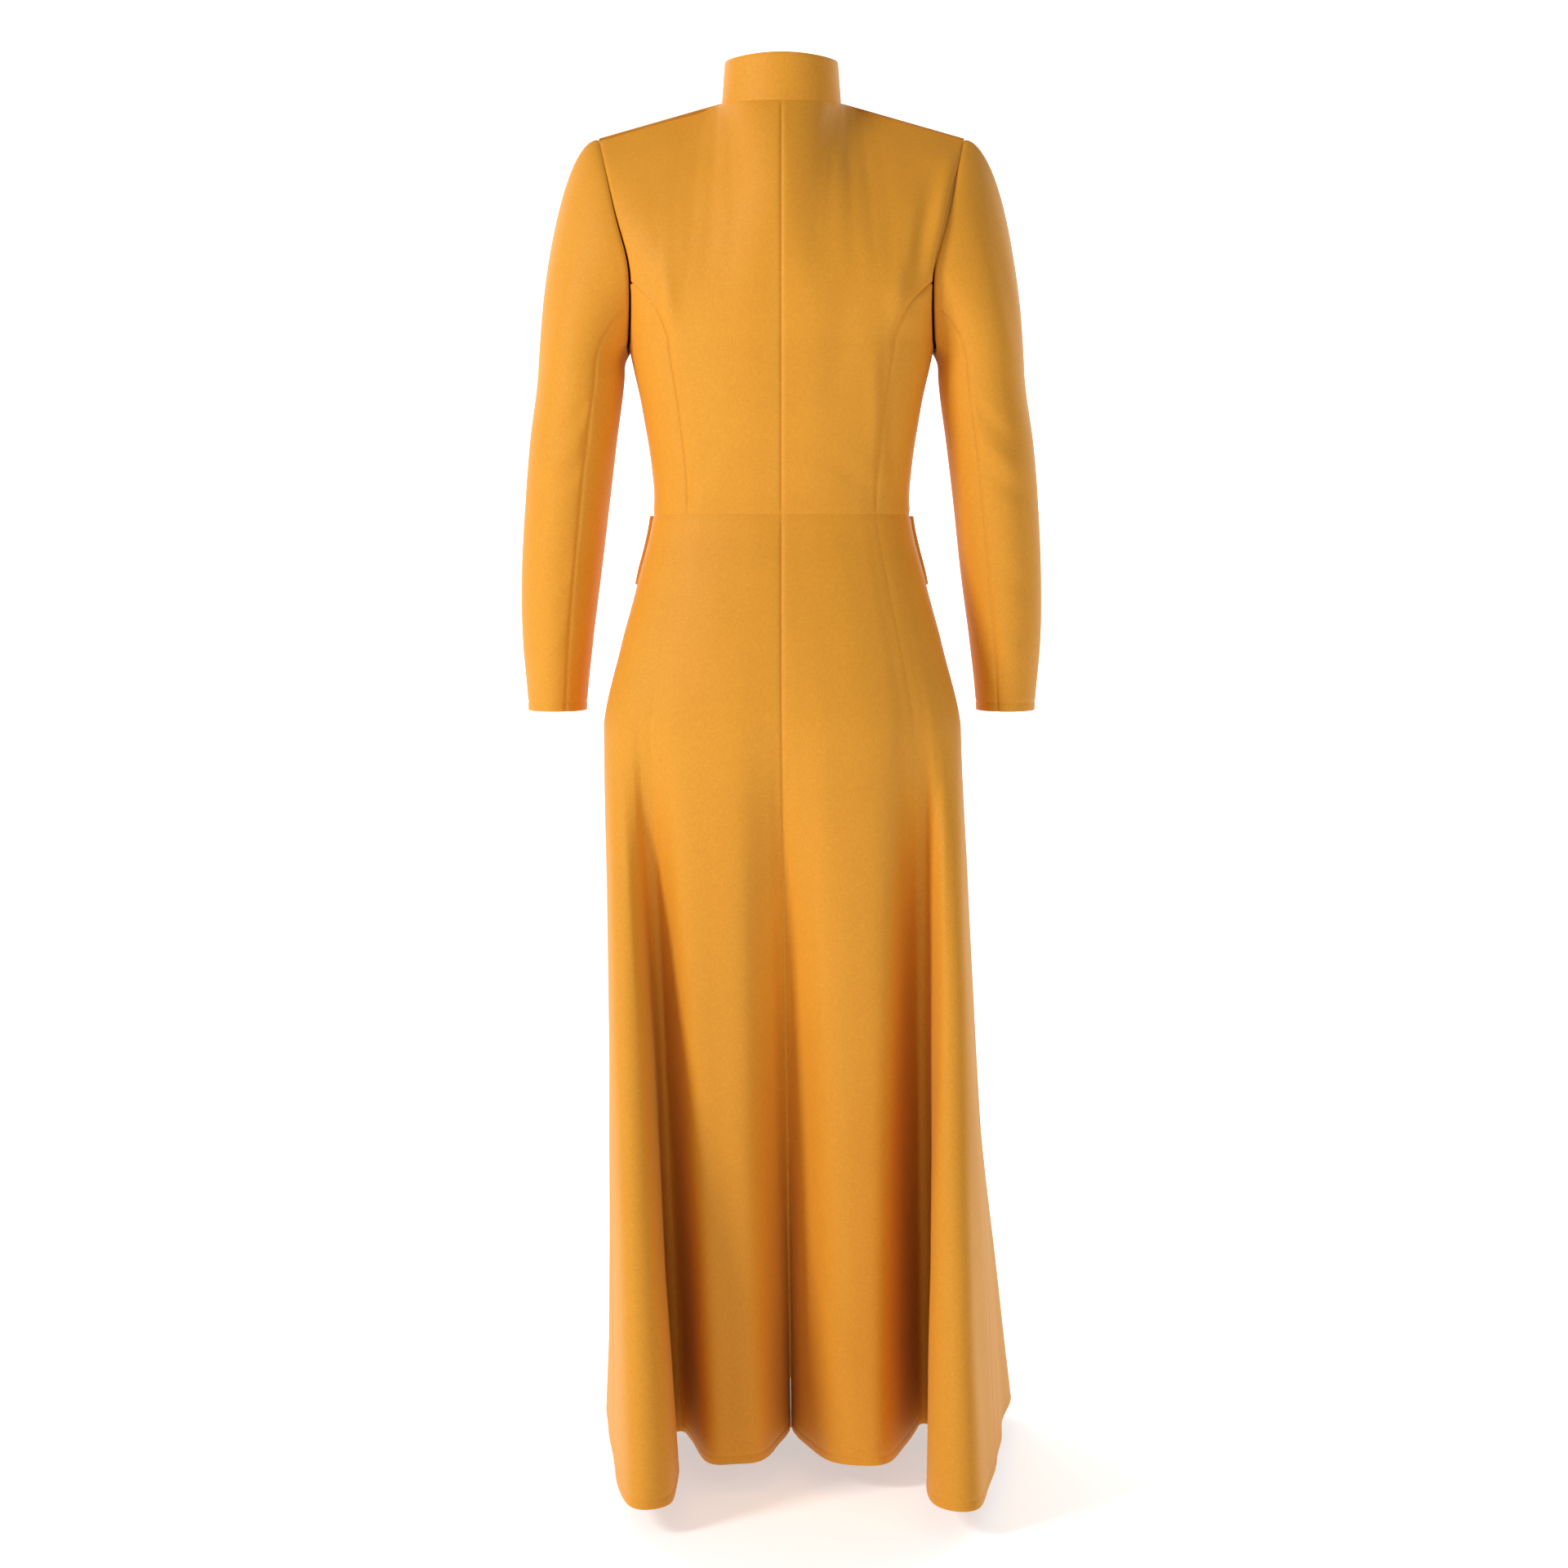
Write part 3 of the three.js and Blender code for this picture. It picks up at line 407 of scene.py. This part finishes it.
def sheet_mesh(name, points, facing, relief, depth, seams, stitch, looped):
    normal = normals_of(points, facing, looped)
    lift = relief(points) if relief else np.zeros(points.shape[:2])
    step_a = np.linalg.norm(np.diff(points, axis=1), axis=-1)
    step_b = np.linalg.norm(np.diff(points, axis=0), axis=-1)
    from_first = np.concatenate([np.zeros((len(points), 1)), np.cumsum(step_a, 1)], 1)
    from_low = np.concatenate([np.zeros((1, points.shape[1])), np.cumsum(step_b, 0)], 0)
    edges = (from_first, from_first[:, -1:] - from_first, from_low, from_low[-1:] - from_low)
    for sewn, gap in zip(seams, edges):
        if sewn:
            lift = lift * smooth(gap / 9) - SEAM_DROP * sewn * np.exp(-((gap / SEAM_WIDTH) ** 2))
    if stitch is not None:
        lift = lift - 0.7 * np.exp(-(((points[..., 2] - stitch) / 1.5) ** 2))
    outer = points + normal * (lift - depth[0])[..., None]
    inner = points + normal * (lift - depth[1])[..., None]
    return grid_object(name, outer, inner, facing, looped, from_first, from_low)


def grid_object(name, outer, inner, facing, looped, across, up):
    rows, wide = outer.shape[:2]
    count = rows * wide
    at = np.arange(count).reshape(rows, wide)
    right = np.roll(at, -1, 1) if looped else at[:, 1:]
    left = at if looped else at[:, :-1]
    face = np.stack([left[:-1], right[:-1], right[1:], left[1:]], -1).reshape(-1, 4)
    back = face[:, ::-1] + count
    low = np.stack([right[0], left[0], left[0] + count, right[0] + count], -1)
    high = np.stack([left[-1], right[-1], right[-1] + count, left[-1] + count], -1)
    parts = [face, back, low, high]
    if not looped:
        parts.append(np.stack([at[:-1, 0], at[1:, 0], at[1:, 0] + count, at[:-1, 0] + count], -1))
        parts.append(np.stack([at[1:, -1], at[:-1, -1], at[:-1, -1] + count, at[1:, -1] + count], -1))
    faces = np.concatenate(parts)
    if facing < 0:
        faces = faces[:, ::-1]
    verts = np.concatenate([outer.reshape(-1, 3), inner.reshape(-1, 3)]) * MM + np.array([0, 0, HEM_Z])
    mesh = bpy.data.meshes.new(name)
    mesh.from_pydata(verts.tolist(), [], faces.tolist())
    mesh.shade_smooth()
    mesh.set_sharp_from_angle(angle=math.radians(55))
    obj = bpy.data.objects.new(name, mesh)
    bpy.context.collection.objects.link(obj)
    obj["flat"] = (float(across[:, -1].max()) * MM, float(up[-1].max()) * MM)
    obj["cut_area"] = float(sum_area(outer)) * MM * MM
    return obj


def sum_area(points):
    a, b, c = points[:-1, :-1], points[:-1, 1:], points[1:, :-1]
    return np.linalg.norm(np.cross(b - a, c - a), axis=-1).sum()


# Materials.
def new_material(name):
    material = bpy.data.materials.new(name)
    material.use_nodes = True
    tree = material.node_tree
    return material, tree, tree.nodes["Principled BSDF"]


def add_node(tree, kind, **values):
    node = tree.nodes.new(kind)
    for key, value in values.items():
        if key in node.inputs:
            node.inputs[key].default_value = value
        else:
            setattr(node, key, value)
    return node


def woven(name, light, dark, rough, sheen, thread, weave_depth, cloud=0.35):
    """A close weave: warp and weft threads, a soft cloudiness in the dye, and a nap of short fibres."""
    material, tree, shader = new_material(name)
    link = tree.links.new
    place = add_node(tree, "ShaderNodeTexCoord")
    slow = add_node(tree, "ShaderNodeTexNoise", Scale=7.0, Detail=4.0, Roughness=0.6)
    fibre = add_node(tree, "ShaderNodeTexNoise", Scale=620.0, Detail=2.0, Roughness=0.7)
    link(place.outputs["Object"], slow.inputs["Vector"])
    link(place.outputs["Object"], fibre.inputs["Vector"])
    threads = []
    for stretch in ((1, 1, 0.22), (0.3, 0.3, 1)):
        mapping = add_node(tree, "ShaderNodeMapping")
        mapping.inputs["Scale"].default_value = stretch
        yarn = add_node(tree, "ShaderNodeTexNoise", Scale=thread, Detail=1.0)
        link(place.outputs["Object"], mapping.inputs["Vector"])
        link(mapping.outputs["Vector"], yarn.inputs["Vector"])
        threads.append(yarn)
    weave = add_node(tree, "ShaderNodeMath", operation="MULTIPLY")
    link(threads[0].outputs["Fac"], weave.inputs[0])
    link(threads[1].outputs["Fac"], weave.inputs[1])
    height = add_node(tree, "ShaderNodeMath", operation="ADD")
    link(weave.outputs[0], height.inputs[0])
    link(fibre.outputs["Fac"], height.inputs[1])
    blend = add_node(tree, "ShaderNodeMath", operation="MULTIPLY_ADD")
    link(slow.outputs["Fac"], blend.inputs[0])
    blend.inputs[1].default_value = cloud
    link(weave.outputs[0], blend.inputs[2])
    dye = add_node(tree, "ShaderNodeValToRGB")
    dye.color_ramp.elements[0].color = (*dark, 1)
    dye.color_ramp.elements[1].color = (*light, 1)
    dye.color_ramp.elements[1].position = 0.85
    link(blend.outputs[0], dye.inputs["Fac"])
    link(dye.outputs["Color"], shader.inputs["Base Color"])
    bump = add_node(tree, "ShaderNodeBump", Strength=0.35, Distance=weave_depth)
    link(height.outputs[0], bump.inputs["Height"])
    link(bump.outputs["Normal"], shader.inputs["Normal"])
    shader.inputs["Roughness"].default_value = rough
    shader.inputs["Sheen Weight"].default_value = sheen
    shader.inputs["Sheen Roughness"].default_value = 0.45
    shader.inputs["Sheen Tint"].default_value = (1.0, 0.72, 0.34, 1)
    shader.inputs["Specular IOR Level"].default_value = 0.28
    return material


WOOL = woven("mustard_wool", (0.82, 0.36, 0.030), (0.64, 0.25, 0.015), 0.62, 0.12, 900.0, 0.0004)
SATIN = woven("lining_satin", (0.62, 0.27, 0.035), (0.50, 0.20, 0.024), 0.38, 0.08, 1300.0, 0.0002)
COVER = woven("button_cover", (0.78, 0.345, 0.032), (0.62, 0.25, 0.018), 0.6, 0.2, 1000.0, 0.0004)
FELT = woven("pad_felt", (0.72, 0.66, 0.56), (0.62, 0.56, 0.47), 0.95, 0.3, 500.0, 0.0006)
LABEL = woven("label_satin", (0.88, 0.84, 0.75), (0.80, 0.75, 0.66), 0.4, 0.1, 1500.0, 0.0002)


def finish_piece(obj, material, body, nodes=()):
    obj.data.materials.append(material)
    if body:
        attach(obj, body)
    if nodes:
        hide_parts(*nodes)
    return obj


SIDES = (("left", 1), ("right", -1))
FINE = 1.0


def fine(count):
    return max(6, int(count * FINE))


def spread(*stops):
    """Rows between the given stops: (value, count), (value, count), ..., value."""
    rows = []
    for (start, count), end in zip(stops[:-1], [s[0] if isinstance(s, tuple) else s for s in stops[1:]]):
        rows.extend(np.linspace(start, end, count, endpoint=False))
    return np.array([*rows, stops[-1]])


def constant(value):
    return lambda b: np.full_like(b, value)


def front_edge(b, skirt):
    """The line where the two fronts meet, as a share or station on the left side."""
    low, high = (np.full_like(b, FRONT_SEAM), np.full_like(b, CENTRE_FRONT)) if skirt else (0 * b, 0 * b + 0.5)
    for _ in range(30):
        middle = (low + high) / 2
        x = ring(middle, b)[..., 0] if skirt else bodice(1, False, middle, b)[..., 0]
        move_low = (x > FRONT_EDGE) if skirt else (x < FRONT_EDGE)
        low, high = np.where(move_low, middle, low), np.where(move_low, high, middle)
    return low


def bodice_pieces(side, name):
    rows = spread((0.0, fine(34)), (1.0, fine(26)), (1.6, fine(22)), 2.0)
    low_rows = spread((0.0, fine(34)), (1.0, fine(14)), 1.285)
    for face, back in (("back", True), ("front", False)):
        facing = -side if back else side

        def surface(s, r, back=back):
            return bodice(side, back, s, r)
        middle = constant(0.0) if back else (lambda r: side * front_edge(r, False))
        seam = lambda r, back=back: princess(back, r)
        edge = lambda r, back=back: armhole_limit(back, r)
        centre = cloth(f"cloth_bodice_{face}_{name}", surface, facing, rows, (middle, seam), fine(46), body_relief,
                       seams=(1 if back else 0.6, 1, 1, 0.35))
        finish_piece(centre, WOOL, "body", [f"bodice_{face}_{name}"])
        panel = cloth(f"cloth_bodice_side_{face}_{name}", surface, facing, low_rows, (seam, edge), fine(22), body_relief,
                      seams=(1, 1, 1, 0.5))
        finish_piece(panel, WOOL, "body", [f"bodice_side_{face}_{name}"])
        liner = cloth(f"satin_bodice_{face}_{name}", surface, facing, rows[::2], (middle, edge), fine(30), body_relief,
                      depth=(SHELL + LINING_EASE, SHELL + LINING_EASE + LINING), seams=(0, 0, 0, 0))
        finish_piece(liner, SATIN, "body", [f"bodice_{face}_lining_{name}"])


def skirt_pieces(side, name):
    rows = spread((0.0, 8), (14.0, fine(80)), (HIP_HEIGHT, fine(34)), WAIST_HEIGHT)
    facing = -side

    def surface(w, z):
        return ring(w if side > 0 else STATIONS - w, z)
    front = lambda z: front_edge(z, True) if side > 0 else STATIONS - front_edge(z, True)
    depth = (SHELL + LINING_EASE, SHELL + LINING_EASE + LINING)
    pieces = (
        ("back", constant(0), constant(BACK_SEAM), 60, "body", (1, HIDDEN_SEAM)),
        ("side_back", constant(BACK_SEAM), constant(SIDE_SEAM), 76, "body", (HIDDEN_SEAM, 0.8)),
        ("side_front", constant(SIDE_SEAM), constant(FRONT_SEAM), 34, "body", (0.8, 1)),
        ("front", constant(FRONT_SEAM), front, 34, None, (1, 0.6)),
    )
    for face, start, end, columns, body, sewn in pieces:
        piece = cloth(f"cloth_skirt_{face}_{name}", surface, facing, rows, (start, end), fine(columns), skirt_relief,
                      seams=(*sewn, 0, 1), stitch=HEM_STITCH)
        finish_piece(piece, WOOL, body, [f"skirt_{face}_{name}"])
        if face == "front":
            swing(piece)
    linings = (
        ("back", constant(0), constant(SIDE_SEAM), 90, "body"),
        ("side", constant(SIDE_SEAM), constant(FRONT_SEAM), 24, "body"),
        ("front", constant(FRONT_SEAM), front, 24, None),
    )
    low_rows = spread((LINING_SHORT, fine(44)), (HIP_HEIGHT, fine(18)), WAIST_HEIGHT)
    for face, start, end, columns, body in linings:
        piece = cloth(f"satin_skirt_{face}_{name}", surface, facing, low_rows, (start, end), fine(columns), skirt_relief,
                      depth=depth, seams=(0, 0, 0, 0))
        finish_piece(piece, SATIN, body, [f"skirt_{face}_lining_{name}"])
        if face == "front":
            swing(piece)


def swing(piece):
    """Bakes the piece's transform into its mesh."""
    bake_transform(piece)


def collar_surface(side):
    def surface(t, h):
        t, h = np.broadcast_arrays(np.asarray(t, float), np.asarray(h, float))
        seam = np.where((t < 1)[..., None], neck_seam(True, np.minimum(t, 1)), neck_seam(False, 2 - np.maximum(t, 1)))
        round_in = np.stack([-seam[..., 0], NECK_POINT_Y - seam[..., 1], np.zeros_like(t)], -1)
        round_in /= np.maximum(np.linalg.norm(round_in, axis=-1, keepdims=True), 1e-6)
        tall = COLLAR_HEIGHT * mix(1, 0.86, smooth(1 - np.abs(1 - t)))
        corner = 9 * smooth((t - 1.75) / 0.22) ** 2 * h
        p = seam + round_in * (3 * h)[..., None]
        p = p + np.stack([0 * t, 0 * t, COLLAR_LIFT + tall * h - corner], -1)
        return p * np.array([side, 1, 1])
    return surface


def collar_pieces(side, name):
    surface = collar_surface(side)
    rows = spread((-0.07, 6), (0.12, fine(12)), (0.82, 8), 1.0)
    for part, start, end, columns, seam in (("back", 0, 1, 34, (0, 0.8)), ("front", 1, 1.97, 34, (0.8, 0.4))):
        piece = cloth(f"cloth_collar_{part}_{name}", surface, -side, rows, (constant(start), constant(end)), fine(columns),
                      seams=(*seam, 0.5, 0.5))
        finish_piece(piece, WOOL, "body", [f"collar_{part}_{name}"])
    depth = (SHELL + 0.4, SHELL + 1.4)
    facing = cloth(f"cloth_collar_facing_{name}", surface, -side, rows, (constant(0), constant(1.97)), fine(60), depth=depth,
                   seams=(0, 0, 0, 0))
    finish_piece(facing, WOOL, "body", [f"collar_facing_{name}"])


ELBOW = 1 + (SLEEVE_TOP - ELBOW_HEIGHT) / (SLEEVE_TOP - CUFF_HEIGHT)
SPLIT = ELBOW - 0.2  # the two lengths of each sleeve meet above the elbow
TOP_SLEEVE, UNDER_SLEEVE = (-5, 5), (5, 11)


def sleeve_pieces(side, name):
    def surface(t, b):
        return sleeve(t, b) * np.array([side, 1, 1])
    levels = {
        "upper": spread((0.0, fine(50)), (1.0, fine(12)), SPLIT),
        "lower": spread((SPLIT, fine(60)), (1.955, 10), 2.0),
    }
    stitch = {"upper": None, "lower": CUFF_HEIGHT + HEM_STITCH}
    for level, rows in levels.items():
        for part, (start, end), columns in (("top", TOP_SLEEVE, 54), ("under", UNDER_SLEEVE, 34)):
            piece = cloth(f"cloth_{part}_sleeve_{level}_{name}", surface, -side, rows, (constant(start), constant(end)),
                          fine(columns), sleeve_relief(side), seams=(1, 1, 0.9 if level == "upper" else 0, 0),
                          stitch=stitch[level])
            finish_piece(piece, WOOL, None, [f"{part}_sleeve_{level}_{name}"])
            bend(piece, level)
        last = rows[rows < 1.95]
        t = np.arange(0, 16, 16 / fine(48))
        points = surface(np.broadcast_to(t, (len(last), len(t))), np.broadcast_to(last[:, None], (len(last), len(t))))
        liner = sheet_mesh(f"satin_sleeve_{level}_{name}", points, -side, sleeve_relief(side),
                           (SHELL + LINING_EASE, SHELL + LINING_EASE + LINING), (0, 0, 0, 0), None, True)
        finish_piece(liner, SATIN, None, [f"sleeve_lining_{level}_{name}"])
        bend(liner, level)


def bend(piece, level):
    if level == "upper":
        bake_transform(piece)
    else:
        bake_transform(piece)


def pocket_pieces(side, name):
    def surface(w, z):
        return ring(w if side > 0 else STATIONS - w, z)
    flap_low, flap_high = WAIST_HEIGHT - 72, WAIST_HEIGHT - 2

    def rounded(start, end):
        """The flap's lower corners are cut round: its row narrows over the last few millimetres."""
        def limit(z):
            cut = np.clip((flap_low + 16 - z) / 16, 0, 1)
            return start + (end - start) * 0.10 * (1 - np.sqrt(1 - cut**2))
        return limit
    rows = spread((flap_low, 12), (flap_low + 16, fine(16)), flap_high)
    flap = cloth(f"cloth_pocket_flap_{name}", surface, -side, rows, (rounded(11, 13), rounded(13, 11)), fine(30),
                 depth=(-4.1, -1.6), seams=(0.5, 0.5, 0.5, 0))
    finish_piece(flap, WOOL, f"flap_{name}", [f"pocket_flap_{name}"])
    near = SHELL + LINING_EASE + LINING + 0.5
    bag = cloth(f"satin_pocket_bag_{name}", surface, -side, np.linspace(WAIST_HEIGHT - 165, WAIST_HEIGHT - 8, 12),
                (constant(11), constant(13)), 10, depth=(near, near + 3), seams=(0, 0, 0, 0))
    finish_piece(bag, SATIN, "body", [f"pocket_bag_{name}"])


def shade_cad(name, material):
    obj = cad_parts[name]
    obj.data.materials.clear()
    obj.data.materials.append(material)


def camera_and_lights():
    camera = bpy.data.cameras.new("camera")
    camera.lens = 72
    camera.sensor_width = 36
    view = bpy.data.objects.new("camera", camera)
    bpy.context.collection.objects.link(view)
    pitch = math.radians(4.764)
    reach = 3.2
    aim = Vector((0, 0, HEM_Z + 0.698))
    view.location = (-0.0025, reach * math.cos(pitch), aim.z + reach * math.sin(pitch))
    view.rotation_euler = (math.pi / 2 - pitch, 0, math.pi)
    bpy.context.scene.camera = view
    for place, size, power, tint in (
        ((2.6, 1.9, 0.9), 0.8, 74, (1.0, 0.985, 0.95)),
        ((-2.4, 3.0, 0.6), 2.0, 10, (0.97, 0.98, 1.0)),
        ((1.6, -2.6, 1.2), 2.0, 30, (1.0, 0.99, 0.98)),
        ((-1.9, -2.2, 0.9), 2.0, 22, (1.0, 0.99, 0.98)),
    ):
        light = bpy.data.lights.new("softbox", "AREA")
        light.size = size
        light.energy = power
        light.color = tint
        lamp = bpy.data.objects.new("softbox", light)
        bpy.context.collection.objects.link(lamp)
        lamp.location = place
        lamp.rotation_euler = (Vector((0, 0, -0.65)) - Vector(place)).to_track_quat("-Z", "Y").to_euler()
    world = bpy.data.worlds.new("studio")
    world.use_nodes = True
    world.node_tree.nodes["Background"].inputs["Color"].default_value = (1, 1, 1, 1)
    world.node_tree.nodes["Background"].inputs["Strength"].default_value = 0.27
    bpy.context.scene.world = world
    bpy.context.scene.view_settings.view_transform = "Standard"


def floor():
    """A white floor that runs back to a white wall, both bright enough to read as an empty studio."""
    z = HEM_Z - 0.03
    sheets = {
        "floor": ([(-14, -9, z), (14, -9, z), (14, 12, z), (-14, 12, z)], 0.5),
        "backdrop": ([(-14, -9, z), (-14, -9, z + 12), (14, -9, z + 12), (14, -9, z)], 1.0),
    }
    for name, (corners, glow) in sheets.items():
        mesh = bpy.data.meshes.new(name)
        mesh.from_pydata(corners, [], [(0, 1, 2, 3)])
        obj = bpy.data.objects.new(name, mesh)
        bpy.context.collection.objects.link(obj)
        material, _, shader = new_material(f"{name}_paint")
        shader.inputs["Base Color"].default_value = (0.85, 0.85, 0.85, 1)
        shader.inputs["Roughness"].default_value = 0.9
        shader.inputs["Emission Color"].default_value = (1, 1, 1, 1)
        shader.inputs["Emission Strength"].default_value = glow
        mesh.materials.append(material)


camera_and_lights()
floor()
for side_name, sign in SIDES:
    bodice_pieces(sign, side_name)
    skirt_pieces(sign, side_name)
    collar_pieces(sign, side_name)
    sleeve_pieces(sign, side_name)
    pocket_pieces(sign, side_name)
    shade_cad(f"shoulder_pad_{side_name}", FELT)
for number in range(1, 8):
    shade_cad(f"button_{number}", COVER)
shade_cad("hanger_loop", WOOL)
shade_cad("neck_label", LABEL)
